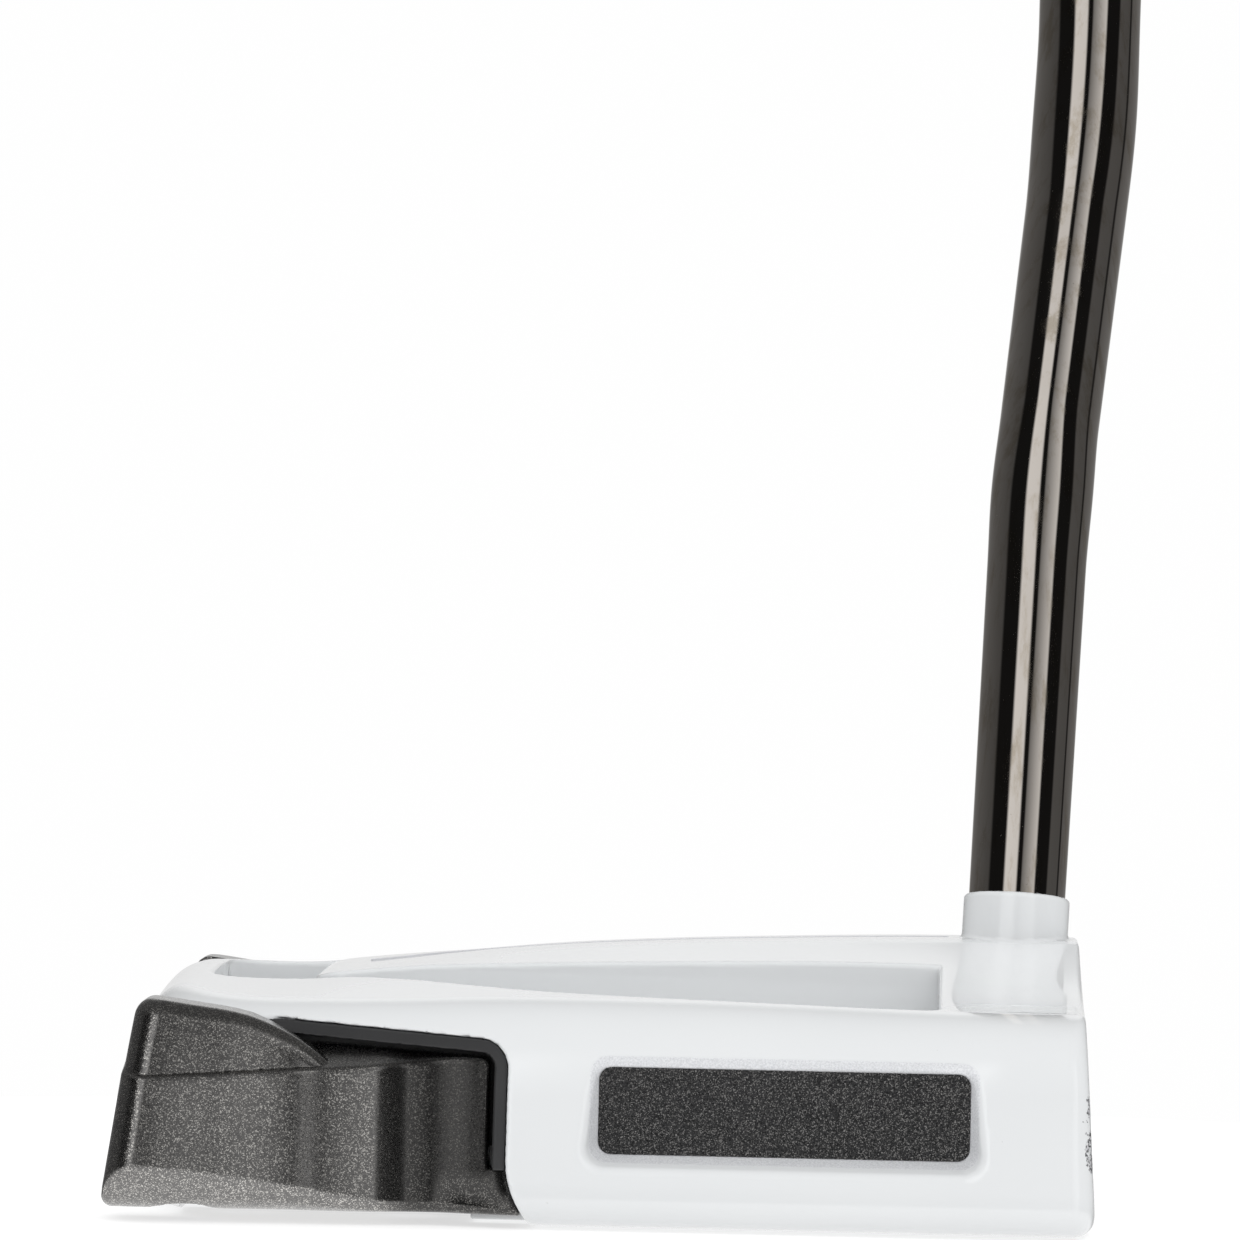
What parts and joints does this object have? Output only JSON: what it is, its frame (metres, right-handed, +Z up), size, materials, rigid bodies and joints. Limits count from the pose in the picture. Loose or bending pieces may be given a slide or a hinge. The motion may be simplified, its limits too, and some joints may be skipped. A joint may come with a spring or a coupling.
{
  "type": "mallet putter",
  "caption": "Mallet putter with a white cast head, black rear wings, side windows, a dark chrome double-bend shaft and a flat-front rubber grip.",
  "frame": {"origin": "on the ground, at the middle of the flat of the sole plate, with the head soled as at address", "axes": "+X points from the rear of the head through the face, at the target; +Y points from the toe to the heel; +Z is up, and the shaft leans heelward at the lie angle"},
  "size_m": [0.1135, 0.3502, 0.8147],
  "materials": {
    "white_paint": "gloss",
    "face_metal": "satin",
    "bond": "satin",
    "line_paint": "satin",
    "black_sparkle": "satin",
    "gasket": "matte",
    "screw_steel": "satin",
    "weight_steel": "satin",
    "plate_steel": "satin",
    "dark_chrome": "polished",
    "tape": "matte",
    "grip_rubber": "matte",
    "cap_plastic": "matte"
  },
  "bodies": {
    "root": {"head_body": "white_paint", "face_insert": "face_metal", "face_insert_bond": "bond", "sight_line_fill": "line_paint", "toe_side_insert": "black_sparkle", "heel_side_insert": "black_sparkle", "toe_insert_bond": "bond", "heel_insert_bond": "bond", "toe_wing": "black_sparkle", "heel_wing": "black_sparkle", "toe_wing_gasket": "gasket", "heel_wing_gasket": "gasket", "wing_screws": "screw_steel", "toe_wing_weight": "weight_steel", "heel_wing_weight": "weight_steel", "sole_plate": "plate_steel", "sole_plate_screws": "screw_steel", "shaft": "dark_chrome", "shaft_bond": "bond", "grip_tape": "tape", "grip": "grip_rubber", "grip_cap": "cap_plastic"}
  },
  "joints": []
}
